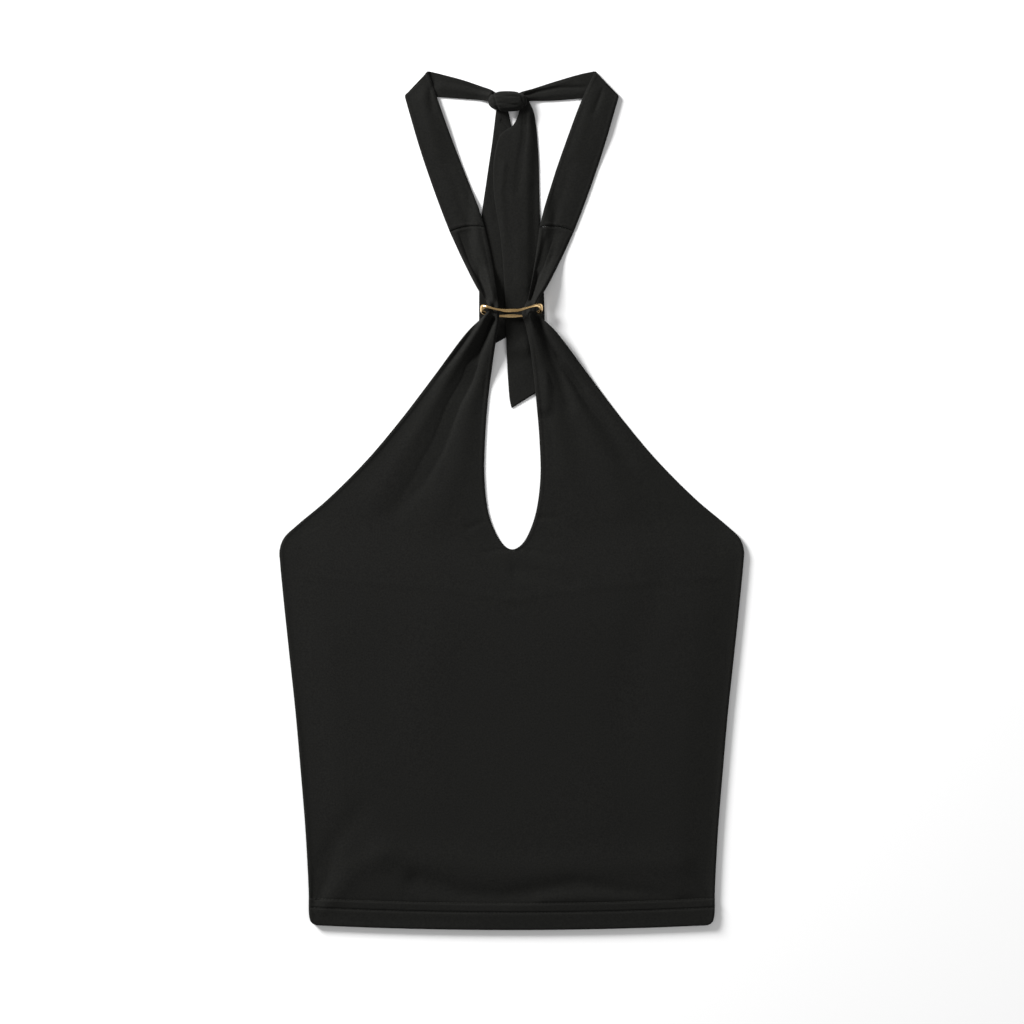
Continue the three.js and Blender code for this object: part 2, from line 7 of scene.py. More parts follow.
import bmesh
import bpy
import numpy as np
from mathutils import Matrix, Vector


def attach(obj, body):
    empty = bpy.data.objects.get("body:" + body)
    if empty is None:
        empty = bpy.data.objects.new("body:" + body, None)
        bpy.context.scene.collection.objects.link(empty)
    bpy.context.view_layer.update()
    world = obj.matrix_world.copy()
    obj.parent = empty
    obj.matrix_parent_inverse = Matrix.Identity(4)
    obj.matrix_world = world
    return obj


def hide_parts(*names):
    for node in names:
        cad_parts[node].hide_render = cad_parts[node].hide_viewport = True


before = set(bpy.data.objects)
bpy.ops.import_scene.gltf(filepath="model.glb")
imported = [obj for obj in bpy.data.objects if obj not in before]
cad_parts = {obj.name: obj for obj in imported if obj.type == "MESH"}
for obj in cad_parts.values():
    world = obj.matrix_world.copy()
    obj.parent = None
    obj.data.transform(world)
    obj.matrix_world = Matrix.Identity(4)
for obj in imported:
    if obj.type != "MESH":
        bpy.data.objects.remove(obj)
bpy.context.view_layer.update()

MM = 0.001

# ------------------------------------------------------------------ driving sizes
CLOTH = 1.1              # wall of the jersey, or of a doubled strap pressed flat
THINNEST = 0.5           # least wall that is left where a trough presses down
EDGE_RADIUS = 0.8        # rounding of a panel's turned edge
STRIP_EDGE = 0.6         # and of a strap's
TAIL_EDGE = 1.6          # the tails lie softer
ROLL_OFFSET = 2.0        # the thick lip of a turned edge stands this far inside it
ROLL_HEIGHT = 0.35
ROLL_WIDTH = 1.1

HEM_DEPTH = 21.0
HEM_MIDDLE_Y = -334.7    # the hem bows down to here
HEM_BOW = 3.7
HEM_HALF_WIDTH = 152.6
HEM_EXTRA = 0.6          # the turned layer of the hem
HEM_ROWS = (13.8, 20.9)  # the twin needle's two rows, above the hem edge
STITCH_PITCH = 2.8
STITCH_LENGTH = 2.1
STITCH_REACH = 155.2     # the rows end this far to each side
THREAD_RADIUS = 0.34
THREAD_LIFT = 0.12

SIDE_SEAM_TOP_Y = -47.0
SIDE_SEAM_ROWS = 10      # rows of FRONT_SECTIONS up to there
SIDE_TURN = 1.2          # width of the panel that turns down at the side seam
SIDE_REST = 0.3
BACK_INSET = 1.3
BACK_ROWS = 150
BACK_COLUMNS = 190
ON_BACK = 2.5            # the front's underside where it lies on the back panel
LEFT_TAIL_END_Y = 118.0
RIGHT_TAIL_END_Y = 72.0
LEFT_TAIL_INNER_X = 3.0  # edge of the left tail, under the right one
TAIL_REACH = 26.0
ON_TAIL = CLOTH + 0.6    # underside of what lies on a tail
DRAPE = 8.0
RING_Y = 147.0
RING_LIFT = 7.2
RING_LIFT_START = 84.0
RING_LIFT_END = 196.0
RING_FLAT = 6.0
STRAP_FACE = CLOTH + 0.35  # inner face of a strap's top layer, over its under layer
STRAP_CAMBER = 0.9

CAMERA_DISTANCE = 1.886
CAMERA_LENS = 85.0
CAMERA_CENTRE = (0.0002, -0.0091)

# ------------------------------------------------------------------ tables
# Sections of the front panel: outer edge x, y; inner edge y, left x, right x
FRONT_SECTIONS = [
    (152.6, -331.0, -334.7, 0.0, 0.0),
    (156.4, -328.6, -331.5, 0.0, 0.0),
    (157.9, -323.5, -327.2, 0.0, 0.0),
    (158.3, -304.0, -307.6, 0.0, 0.0),
    (160.8, -257.0, -257.0, 0.0, 0.0),
    (164.6, -210.0, -210.0, 0.0, 0.0),
    (168.7, -163.5, -163.5, 0.0, 0.0),
    (173.7, -117.0, -117.0, 0.0, 0.0),
    (178.6, -70.0, -72.0, 0.0, 0.0),
    (180.7, -47.0, -50.0, 0.2, 0.2),
    (180.9, -38.7, -38.3, 0.4, 0.4),
    (177.6, -29.4, -36.2, -4.6, 5.6),
    (166.5, -18.6, -30.0, -9.9, 11.0),
    (144.1, 0.3, -11.5, -17.7, 18.3),
    (112.9, 31.5, 16.0, -21.2, 22.2),
    (86.7, 62.7, 45.0, -20.9, 21.7),
    (60.5, 97.0, 80.0, -18.3, 18.8),
    (34.5, 131.0, 118.0, -13.2, 14.4),
    (24.0, 141.2, 136.0, -10.4, 10.6),
    (18.9, 147.0, 146.0, -9.6, 8.0),
    (19.8, 154.5, 156.0, -11.0, 12.4),
    (26.2, 163.7, 170.0, -12.8, 15.3),
    (38.3, 187.5, 192.0, -16.3, 18.9),
    (48.3, 209.2, 212.4, -21.0, 21.6),
]
KEYHOLE_SECTION = 10
KEYHOLE_X = 0.4
SEAM_BOW = 2.6
FRONT_GRID = 2.6         # grid spacing on the front panel
FRONT_COLUMNS = 76

# Folds: line of points, height at its two ends, width at its two ends. A negative height is
# a trough. Heights add up.
FRONT_FOLDS = [
    # below the ring, left half
    ([(-18.6, 150), (-31, 131), (-42.5, 115), (-57, 97), (-64, 89)], (-2.4, -0.5), (1.5, 2.8)),
    ([(-16.6, 152), (-20.4, 142.6), (-52, 91.5), (-71.5, 57.2), (-91, 25.7), (-108, 1.1)],
     (2.4, 0.5), (2.6, 10)),
    ([(-14.6, 141), (-19.8, 129.3), (-27.8, 113), (-34.2, 93.4), (-44.7, 74.4), (-55.7, 45),
      (-71.5, 15.9), (-91, -8.3)], (-4.2, -0.7), (1.9, 8)),
    ([(-10.6, 152), (-12.5, 135), (-22, 100), (-32.5, 74), (-42.7, 26), (-62, -13)], (2.0, 0.6), (2.0, 14)),
    # below the ring, right half
    ([(17.2, 143.5), (19.6, 138), (25.8, 124.7), (31.2, 111.3), (37.4, 97.9), (45.5, 74.4)],
     (-4.2, -0.9), (1.7, 5)),
    ([(19.4, 145), (25.8, 129.3), (38.4, 108.7), (49.1, 92.6), (61.6, 72), (69.7, 62.2), (89.2, 33)],
     (-4.0, -0.6), (1.7, 6.5)),
    ([(13.8, 152), (15.6, 134), (23, 108), (33, 76), (42, 24)], (2.2, 0.6), (1.8, 10)),
    ([(17.8, 152), (22.0, 134), (34, 108), (52, 78), (70, 40), (85, 0)], (2.2, 0.9), (2.0, 15)),
    ([(27, 137), (44, 112), (62, 88), (84, 58), (106, 28)], (1.6, 0.3), (2.6, 7)),
    # over the ring's lower bar, on both sides of the keyhole
    ([(14.0, 143.6), (21.0, 144.4)], (3.4, 3.4), (1.9, 1.9)),
    ([(-14.0, 143.6), (-21.0, 144.2)], (2.2, 2.2), (1.9, 1.9)),
    # above the ring
    ([(-19.3, 156), (-24.7, 170.3), (-31.7, 187), (-38, 206.4)], (-3.6, -1.6), (1.8, 2.8)),
    ([(-14.4, 156), (-19.4, 180), (-27, 207)], (1.9, 0.8), (1.8, 4)),
    ([(-18.6, 155), (-28.4, 174), (-42.5, 206)], (1.6, 0.7), (1.5, 3)),
    ([(14.3, 156.3), (18.5, 170.3), (22.6, 184), (29.6, 203.6)], (-3.4, -1.5), (1.7, 2.6)),
    ([(19, 155), (28.4, 174), (41, 206)], (2.0, 0.8), (1.8, 4.5)),
    ([(13.4, 156), (16.6, 178), (22.6, 205)], (1.2, 0.5), (1.2, 2.4)),
    # puckers round the keyhole's lower end
    ([(-22, -40.5), (-8, -39.5)], (-0.7, -0.3), (1.8, 1.5)),
    ([(21, -13), (38, -14)], (-0.6, -0.2), (1.6, 2.4)),
    ([(14, -39.5), (40, -43.5)], (-0.7, -0.2), (1.8, 2.6)),
    ([(4, -54), (45, -64)], (-0.8, -0.4), (5, 7)),
    ([(-34, -22), (-23, -17)], (-0.5, -0.4), (2.2, 1.6)),
    # across the lower body
    ([(-153, -308.6), (-138, -267), (-118, -241.5)], (-1.6, -0.5), (6, 9)),
    ([(-147, -315), (-124.6, -289), (-99.6, -275)], (0.9, 0.9), (7, 11)),
    ([(-99.6, -276), (-60, -281), (0, -288), (60, -285), (130, -283)], (1.0, 0.8), (12, 10)),
    ([(-10, -78.5), (66, -67), (109, -63.5), (161, -59)], (0.22, 0.22), (2.2, 2.2)),
    ([(10, -78.5), (-66, -67), (-109, -63.5), (-161, -59)], (0.22, 0.22), (2.2, 2.2)),
    ([(-74, -296), (-40, -306), (-6, -308), (22, -303), (50, -298), (98, -305.5), (142, -311.7)],
     (-2.1, -0.8), (8, 4.5)),
    ([(22, -310), (70, -308.5), (128, -309)], (0.9, 0.6), (3, 4)),
    ([(155.5, -305.5), (142, -286)], (-0.9, -0.3), (4, 6)),
    ([(118, -60), (96, -120), (88, -190), (100, -250)], (-0.8, -0.5), (16, 20)),
    ([(-60, -95), (-70, -160), (-58, -220)], (0.7, 0.4), (22, 22)),
]

# Straps by side, from the seam to the shoulder crease: outer x, outer y, inner x, inner y
STRAP_FRONT = {
    -1: [(48.3, 209.2, 21.0, 212.4), (54.7, 225.5, 25.8, 228), (64.3, 252, 36.4, 255),
         (73.1, 279, 47.6, 284), (79.2, 300, 56.6, 309), (83.6, 315.3, 65.3, 334.7)],
    1: [(48.3, 209.2, 21.6, 212.4), (54.7, 225.5, 25.4, 228), (64.3, 252, 33.7, 255),
        (73.1, 279, 43.9, 284), (79.2, 300, 53.3, 309), (83.6, 315.3, 65.0, 334.7)],
}
# and from the crease to the knot: top x, top y, bottom x, bottom y
STRAP_BACK = {
    -1: [(65.3, 334.7, 83.6, 315.3), (54.5, 332.2, 62.0, 314.6), (36.0, 327.2, 39.0, 313.0),
         (18.5, 320.9, 19.0, 311.0), (12.5, 318.2, 13.0, 308.6)],
    1: [(65.0, 334.7, 83.6, 315.3), (53.0, 332.2, 62.0, 313.8), (31.0, 325.8, 34.0, 311.6),
        (12.0, 319.6, 13.0, 310.6), (5.0, 317.6, 5.5, 308.6)],
}
# Tails from the knot down: left x, left y, right x, right y
TAIL_LEFT = [
    (-12.0, 305.5, -3.6, 306.5), (-13.2, 296.0, -1.2, 297.0), (-15.2, 280.0, 1.6, 280.0),
    (-19.6, 250.0, 3, 250.0), (-23.6, 220.0, 3, 220.0), (-25.3, 178.0, 3, 180.0),
    (-25.5, 142.0, 3, 150.0), (-25.3, 115.3, 3, 131.3),
]
TAIL_RIGHT = [
    (6.6, 308.0, 13.2, 311.4), (5.8, 303.0, 17.2, 302.6), (1.2, 292.6, 19.2, 291.0),
    (-8.6, 285.0, 20.1, 281.0), (-13.6, 268.0, 21.1, 265.5), (-14.0, 240.0, 21.6, 240.0),
    (-8.6, 203.9, 22.8, 204.0), (-5.2, 156.3, 25.2, 160.0), (-4.2, 121.0, 26.0, 128.0),
    (-1.6, 78.3, 26.4, 94.0), (-0.1, 71.9, 26.4, 88.4),
]
STRAP_FOLDS = {
    -1: [([(-60.5, 327), (-64, 318), (-62, 304)], (-0.8, -0.3), (1.6, 2.4)),
         ([(-34, 214), (-42, 238), (-50, 262)], (-0.5, -0.2), (3, 4)),
         ([(-70, 322), (-66, 300), (-58, 270)], (0.5, 0.3), (3, 5))],
    1: [([(71, 321), (67.5, 311), (64, 302)], (-1.0, -0.4), (1.5, 2.2)),
        ([(32, 214), (38, 236), (46, 262)], (-0.5, -0.2), (3, 4)),
        ([(62, 318), (58, 300), (50, 272)], (0.5, 0.3), (3, 5))],
}
BACK_RUN_FOLDS = {
    -1: [([(-18, 315), (-38, 319), (-60, 323)], (0.7, 0.3), (1.6, 3.0)),
         ([(-18, 317.8), (-36, 323.5), (-56, 328)], (-0.6, -0.2), (1.2, 2.0))],
    1: [([(10, 315.2), (18.5, 318.3), (36.6, 321.7), (57.5, 322)], (-1.0, -0.7), (1.2, 1.5)),
        ([(10, 312.6), (30, 315.5), (54, 317.5)], (0.6, 0.4), (1.8, 2.8)),
        ([(10, 317.6), (24, 321.5), (44, 326.5)], (0.6, 0.4), (1.2, 2.2))],
}
TAIL_FOLDS = {
    "left": [([(-12.2, 286), (-14.3, 262), (-13.6, 240), (-11.5, 219)], (-1.2, -0.5), (2.2, 2.6)),
             ([(-8, 296), (-3, 291)], (-0.6, -0.3), (0.8, 0.8)),
             ([(-16.5, 283), (-19.6, 255), (-22, 232)], (0.6, 0.3), (2, 2.4))],
    "right": [([(10.5, 303), (10, 282), (7.3, 268), (4.5, 240)], (-1.1, -0.4), (1.8, 3)),
              ([(14.5, 300), (16, 280), (15, 250)], (0.8, 0.5), (2.6, 5)),
              ([(6, 200), (8, 160), (10, 100)], (0.5, 0.4), (5, 7)),
              ([(-6, 262), (-8.5, 240), (-5, 204)], (0.5, 0.3), (2.4, 3))],
}
RING_STATIONS = [  # x, y, z, half size in the ring's plane, half size along Y
    (0.0, 147.0, 13.6, 1.3, 1.4), (6.5, 147.4, 13.6, 1.15, 1.15), (13.5, 149.5, 13.3, 1.0, 0.9),
    (19.8, 151.0, 12.0, 1.0, 1.4), (22.9, 149.8, 9.4, 1.15, 2.4), (22.4, 147.6, 6.4, 1.15, 1.7),
    (17.5, 144.4, 5.0, 1.2, 1.2), (8.0, 143.5, 4.8, 1.1, 1.0), (0.0, 143.4, 5.0, 1.4, 1.55),
    (-9.5, 143.5, 4.8, 1.1, 1.0), (-18.0, 144.1, 5.0, 1.2, 1.2), (-22.7, 146.9, 6.4, 1.15, 1.7),
    (-23.2, 149.0, 9.4, 1.15, 2.4), (-20.4, 150.1, 12.0, 1.0, 1.4), (-13.8, 148.4, 13.3, 1.0, 0.9),
    (-6.5, 147.1, 13.6, 1.15, 1.15),
]
KNOT_CENTRE = (-3.2, 310.6, 4.3)
KNOT_RADII = (15.0, 8.0, 5.2)
KNOT_CREASES = ((-0.56, 0.11, 0.06), (0.72, 0.10, 0.07))  # place along it, depth, width, as shares


# ------------------------------------------------------------------ shape helpers
def smooth(value):
    """0 below 0, 1 above 1 and smooth between."""
    value = np.clip(value, 0.0, 1.0)
    return value * value * (3 - 2 * value)


def spline(points, parameters, closed=False):
    """Centripetal curve through points; a parameter of 1 is one row further."""
    points = np.asarray(points, float)
    count = len(points)
    parameters = np.asarray(parameters, float)
    if closed:
        padded = np.vstack([points[-1], points, points[0], points[1]])
        segment = np.floor(parameters).astype(int) % count
    else:
        padded = np.vstack([2 * points[0] - points[1], points, 2 * points[-1] - points[-2]])
        segment = np.clip(np.floor(parameters).astype(int), 0, count - 2)
    share = (parameters - np.floor(parameters) if closed else parameters - segment)[:, None]
    a, b, c, d = (padded[segment + k] for k in range(4))
    ab, bc, cd = (np.maximum(np.linalg.norm(q - p, axis=1) ** 0.5, 1e-3)[:, None]
                  for p, q in ((a, b), (b, c), (c, d)))
    out_b = ((b - a) / ab - (c - a) / (ab + bc) + (c - b) / bc) * bc
    out_c = ((c - b) / bc - (d - b) / (bc + cd) + (d - c) / cd) * bc
    return (b + out_b * share + (-3 * b + 3 * c - 2 * out_b - out_c) * share ** 2
            + (2 * b - 2 * c + out_b + out_c) * share ** 3)


def fold_height(folds, x, y):
    """Sum of the soft ridges and troughs at places in plan."""
    total = np.zeros_like(x)
    for line, heights, widths in folds:
        best = np.full(x.shape, np.inf)
        along = np.zeros_like(x)
        runs = [np.hypot(q[0] - p[0], q[1] - p[1]) for p, q in zip(line, line[1:])]
        start = 0.0
        for (ax, ay), (bx, by), run in zip(line, line[1:], runs):
            share = np.clip(((x - ax) * (bx - ax) + (y - ay) * (by - ay)) / run ** 2, 0, 1)
            distance = np.hypot(x - ax - share * (bx - ax), y - ay - share * (by - ay))
            nearer = distance < best
            best = np.where(nearer, distance, best)
            along = np.where(nearer, (start + share * run) / sum(runs), along)
            start += run
        width = widths[0] + (widths[1] - widths[0]) * along
        height = heights[0] + (heights[1] - heights[0]) * along
        total += height * np.exp(-(best / width) ** 2)
    return total


def undulation(x, y, size, height):
    """Slow, slight unevenness of cloth that lies by its own weight."""
    wave = (np.sin(x / size * 1.0 + 0.7 * np.sin(y / size * 0.8 + 1.3))
            + np.sin(y / size * 0.9 + 0.8 * np.sin(x / size * 1.1 + 4.0) + 2.1)
            + 0.6 * np.sin((x + y) / size * 1.7 + 0.4) + 0.5 * np.sin((x - 1.4 * y) / size * 1.3 + 2.6))
    return height * wave / 3.1


def edge_profile(distance, radius=EDGE_RADIUS):
    """Share of the wall's thickness at a distance from its edge: a quarter round."""
    inside = np.clip(distance / radius, 0, 1)
    return 0.12 + 0.88 * np.sqrt(1 - (1 - inside) ** 2)


def edge_spaced(count, width):
    """Parameters from 0 to 1 that crowd near the edges of a strip of the given width."""
    near = np.array([0, 0.12, 0.35, 0.7, 1.1, 1.6, 2.2, 2.9]) / width
    middle = np.linspace(near[-1], 1 - near[-1], count)[1:-1]
    return np.concatenate([near, middle, 1 - near[::-1]])


def mesh_object(name, points, faces, material, merge=0.0):
    """Smooth-shaded object from points in millimetres; points closer than merge become one."""
    mesh = bpy.data.meshes.new(name)
    mesh.from_pydata((np.asarray(points) * MM).tolist(), [], faces)
    if merge:
        work = bmesh.new()
        work.from_mesh(mesh)
        bmesh.ops.remove_doubles(work, verts=work.verts, dist=merge * MM)
        work.to_mesh(mesh)
        work.free()
    mesh.validate()
    mesh.polygons.foreach_set("use_smooth", [True] * len(mesh.polygons))
    thing = bpy.data.objects.new(name, mesh)
    bpy.context.scene.collection.objects.link(thing)
    mesh.materials.append(material)
    return thing


def grid_faces(rows, columns, start=0, flip=False):
    """Four-sided faces of a grid whose first point has the index start."""
    a = (np.arange(rows - 1)[:, None] * columns + np.arange(columns - 1)[None, :]).ravel() + start
    quads = np.stack([a, a + 1, a + columns + 1, a + columns], axis=1)
    return (quads[:, ::-1] if flip else quads).tolist()


def closed_wall(lower, upper):
    """Points and faces of a closed wall between two grids of the same shape."""
    rows, columns = lower.shape[:2]
    count = rows * columns
    points = np.concatenate([lower.reshape(-1, 3), upper.reshape(-1, 3)])
    faces = grid_faces(rows, columns, flip=True) + grid_faces(rows, columns, count)
    around = ([c for c in range(columns)] + [r * columns + columns - 1 for r in range(1, rows)]
              + [(rows - 1) * columns + c for c in range(columns - 2, -1, -1)]
              + [r * columns for r in range(rows - 2, 0, -1)])
    for p, q in zip(around, around[1:] + around[:1]):
        faces.append([p, q, q + count, p + count])
    return points, faces


# ------------------------------------------------------------------ what lies under what
def back_top(x):
    """Top edge of the back panel."""
    to_side = np.minimum(1, np.abs(x) / 178.6)
    return -60 - 17.7 * (1 - to_side) ** 1.8 + 12.5 * smooth((to_side - 0.88) / 0.12)


def over_tails(x):
    """Underside of cloth that lies over the tails and comes down beside them."""
    return ON_TAIL * smooth((TAIL_REACH + DRAPE - np.abs(x)) / DRAPE)


def front_rest(x, y):
    """Underside of the front panel where it just lies on what is below it."""
    on_back = ON_BACK * smooth((back_top(x) + 50 - y) / 48)
    tail_end = np.where(x < 0, LEFT_TAIL_END_Y, RIGHT_TAIL_END_Y)
    on_tails = over_tails(x) * smooth((y - tail_end + DRAPE) / DRAPE)
    rise = smooth((y - RING_LIFT_START) / (RING_Y - RING_FLAT - RING_LIFT_START))
    fall = smooth((RING_LIFT_END - y) / (RING_LIFT_END - RING_Y - RING_FLAT))
    return np.maximum(np.maximum(on_back, on_tails), RING_LIFT * np.minimum(rise, fall))


# ------------------------------------------------------------------ materials
def node(tree, kind, **values):
    """A shader node; a value goes to the socket of that name, or else to the setting."""
    made = tree.nodes.new(kind)
    for key, value in values.items():
        if key in made.inputs:
            made.inputs[key].default_value = value
        else:
            setattr(made, key, value)
    return made


def jersey_material(name, colour=0.0060, knit=0.0007):
    """Fine matte jersey: knit ribs, pills of fibre and a slight mottling."""
    material = bpy.data.materials.new(name)
    material.use_nodes = True
    tree = material.node_tree
    shader = tree.nodes["Principled BSDF"]
    shader.inputs["Roughness"].default_value = 0.88
    shader.inputs["Specular IOR Level"].default_value = 0.12
    shader.inputs["Sheen Weight"].default_value = 0.03
    shader.inputs["Sheen Roughness"].default_value = 0.45
    shader.inputs["Sheen Tint"].default_value = (1.0, 1.0, 0.94, 1.0)
    place = node(tree, "ShaderNodeTexCoord")
    mottle = node(tree, "ShaderNodeTexNoise", Scale=820.0, Detail=3.0, Roughness=0.65)
    tree.links.new(place.outputs["Object"], mottle.inputs["Vector"])
    ramp = node(tree, "ShaderNodeValToRGB")
    ramp.color_ramp.elements[0].position = 0.32
    ramp.color_ramp.elements[1].position = 0.70
    low, high = colour * 0.60, colour * 1.45
    ramp.color_ramp.elements[0].color = (low, low, low * 0.88, 1)
    ramp.color_ramp.elements[1].color = (high, high, high * 0.88, 1)
    tree.links.new(mottle.outputs["Fac"], ramp.inputs["Fac"])
    tree.links.new(ramp.outputs["Color"], shader.inputs["Base Color"])
    ribs = node(tree, "ShaderNodeTexWave", Scale=1 / knit / 6.2832 * 2, Distortion=1.2, Detail=1.0)
    ribs.bands_direction = "X"
    ribs.inputs["Detail Scale"].default_value = 2.0
    tree.links.new(place.outputs["Object"], ribs.inputs["Vector"])
    courses = node(tree, "ShaderNodeTexWave", Scale=1 / knit / 6.2832 * 3, Distortion=1.5, Detail=1.0)
    courses.bands_direction = "Y"
    tree.links.new(place.outputs["Object"], courses.inputs["Vector"])
    fibre = node(tree, "ShaderNodeTexNoise", Scale=900.0, Detail=3.0, Roughness=0.7)
    tree.links.new(place.outputs["Object"], fibre.inputs["Vector"])
    loops = node(tree, "ShaderNodeMath", operation="MULTIPLY")
    tree.links.new(ribs.outputs["Fac"], loops.inputs[0])
    tree.links.new(courses.outputs["Fac"], loops.inputs[1])
    relief = node(tree, "ShaderNodeMath", operation="ADD")
    tree.links.new(loops.outputs[0], relief.inputs[0])
    tree.links.new(fibre.outputs["Fac"], relief.inputs[1])
    bump = node(tree, "ShaderNodeBump", Strength=0.55, Distance=0.00012)
    tree.links.new(relief.outputs[0], bump.inputs["Height"])
    tree.links.new(bump.outputs["Normal"], shader.inputs["Normal"])
    return material


def gold_material():
    """Polished gold-coloured plating with slight tones and fine scratches."""
    material = bpy.data.materials.new("polished_gold_colour")
    material.use_nodes = True
    tree = material.node_tree
    shader = tree.nodes["Principled BSDF"]
    shader.inputs["Metallic"].default_value = 1.0
    shader.inputs["Roughness"].default_value = 0.2
    place = node(tree, "ShaderNodeTexCoord")
    tone = node(tree, "ShaderNodeTexNoise", Scale=120.0, Detail=3.0)
    tree.links.new(place.outputs["Object"], tone.inputs["Vector"])
    ramp = node(tree, "ShaderNodeValToRGB")
    ramp.color_ramp.elements[0].position = 0.3
    ramp.color_ramp.elements[1].position = 0.75
    ramp.color_ramp.elements[0].color = (0.66, 0.42, 0.17, 1)
    ramp.color_ramp.elements[1].color = (0.86, 0.62, 0.32, 1)
    tree.links.new(tone.outputs["Fac"], ramp.inputs["Fac"])
    tree.links.new(ramp.outputs["Color"], shader.inputs["Base Color"])
    scratches = node(tree, "ShaderNodeTexNoise", Scale=900.0, Detail=2.0)
    tree.links.new(place.outputs["Object"], scratches.inputs["Vector"])
    bump = node(tree, "ShaderNodeBump", Strength=0.08, Distance=0.00005)
    tree.links.new(scratches.outputs["Fac"], bump.inputs["Height"])
    tree.links.new(bump.outputs["Normal"], shader.inputs["Normal"])
    return material


JERSEY = jersey_material("black_jersey")
THREAD = jersey_material("black_thread", colour=0.0105, knit=0.0004)
GOLD = gold_material()


# ------------------------------------------------------------------ front panel
def hem_y(x):
    return HEM_MIDDLE_Y + HEM_BOW * (x / HEM_HALF_WIDTH) ** 2


def hem_relief(x, y):
    """Grooves of the two stitch rows, and the turned layer ending under the upper one."""
    above = y - hem_y(x)
    relief = 0.55 * smooth((HEM_ROWS[1] + 1.2 - above) / 1.6)
    for row in HEM_ROWS:
        relief = relief - 0.7 * np.exp(-((above - row) / 0.75) ** 2)
        relief = relief + (0.05 * np.sin(2 * np.pi * x / STITCH_PITCH)
                           * np.exp(-((above - row) / 1.8) ** 2))
    return relief


def front_top(x, y, edge):
    """Height of the upper face of the front panel. edge is the distance to its nearest edge."""
    body = smooth((back_top(x) + 20 - y) / 60)
    puff = 1.5 * smooth((edge - 1) / 34) * (0.35 + 0.65 * body)
    lift = front_rest(x, y) + CLOTH
    away = smooth(edge / 6)
    near_ring = smooth((y - 60) / 40)
    folds = fold_height(FRONT_FOLDS, x, y) * np.maximum(away, near_ring)
    uneven = undulation(x, y, 46.0, 0.5) + undulation(x + 31, y - 12, 17.0, 0.13)
    top = lift + puff + uneven * away + folds + hem_relief(x, y)
    roll = ROLL_HEIGHT * np.exp(-((edge - ROLL_OFFSET) / ROLL_WIDTH) ** 2)
    # troughs reach down only where the cloth is lifted for the ring
    deepest = 0.45 + 3.4 * near_ring * smooth((front_rest(x, y) - 2.0) / 3.0)
    return np.maximum(top + roll, lift - deepest)


def inner_edge(points, parameters):
    """The middle line up to the keyhole, then the keyhole's edge, which starts level."""
    middle = spline(points[:KEYHOLE_SECTION + 1], np.minimum(parameters, KEYHOLE_SECTION))
    middle[:, 0] = KEYHOLE_X * smooth((parameters - KEYHOLE_SECTION + 2) / 2)
    lowest = points[KEYHOLE_SECTION]
    mirrored = np.array([2 * lowest[0] - points[KEYHOLE_SECTION + 1, 0], points[KEYHOLE_SECTION + 1, 1]])
    keyhole = np.vstack([mirrored, points[KEYHOLE_SECTION:]])
    edge = spline(keyhole, np.maximum(parameters - KEYHOLE_SECTION, 0) + 1)
    return np.where((parameters <= KEYHOLE_SECTION)[:, None], middle, edge)


def front_grid(side):
    """Places in plan of one half's grid, and their distances to the nearest edge."""
    last = len(FRONT_SECTIONS) - 1
    table = np.array(FRONT_SECTIONS)
    inner_x = table[:, 3] if side < 0 else table[:, 4]
    outer_rows = np.stack([side * table[:, 0], table[:, 1]], axis=1)
    inner_rows = np.stack([inner_x, table[:, 2]], axis=1)
    # grid rows about FRONT_GRID apart, with a few close ones at the hem and at the seam
    coarse = np.linspace(0, last, 4000)
    outer_path = spline(outer_rows, coarse)
    inner_path = inner_edge(inner_rows, coarse)
    run = np.maximum(np.linalg.norm(np.diff(outer_path, axis=0), axis=1),
                     np.linalg.norm(np.diff(inner_path, axis=0), axis=1))
    length = np.concatenate([[0], np.cumsum(run)])
    stops = edge_spaced(int(length[-1] / FRONT_GRID), length[-1]) * length[-1]
    near_stitches = np.array([-1.5, -0.9, -0.5, 0.0, 0.5, 0.9, 1.5])
    for row in HEM_ROWS:
        heights = HEM_MIDDLE_Y + row + near_stitches
        stops = np.append(stops, np.interp(heights, inner_path[:, 1], length))
    stops = np.sort(stops)
    rows = np.interp(stops, length, coarse)
    rows[np.argmin(np.abs(rows - KEYHOLE_SECTION))] = KEYHOLE_SECTION
    outer = spline(outer_rows, rows)
    inner = inner_edge(inner_rows, rows)
    width = np.linalg.norm(outer - inner, axis=1)
    grid_x, grid_y, edges = [], [], []
    for index, row in enumerate(rows):
        share = edge_spaced(FRONT_COLUMNS, max(width[index], 17.0))
        outer_y = outer[index, 1]
        climb = outer_y - inner[index, 1]
        x = inner[index, 0] + share * (outer[index, 0] - inner[index, 0])
        y = inner[index, 1] + share * climb
        y = y + smooth((-250 - outer_y) / 60) * climb * (share ** 2 - share)
        y = y + SEAM_BOW * smooth((outer_y - 192) / 12) * 4 * share * (1 - share)
        edge = (1 - share) * width[index]
        if row > KEYHOLE_SECTION - 1e-6:
            edge = np.minimum(edge, share * width[index])
        edge = np.minimum(edge, y - hem_y(x))
        edge = np.minimum(edge, length[-1] - stops[index])
        grid_x.append(x)
        grid_y.append(y)
        edges.append(np.maximum(edge, 0))
    return np.array(grid_x), np.array(grid_y), np.array(edges)


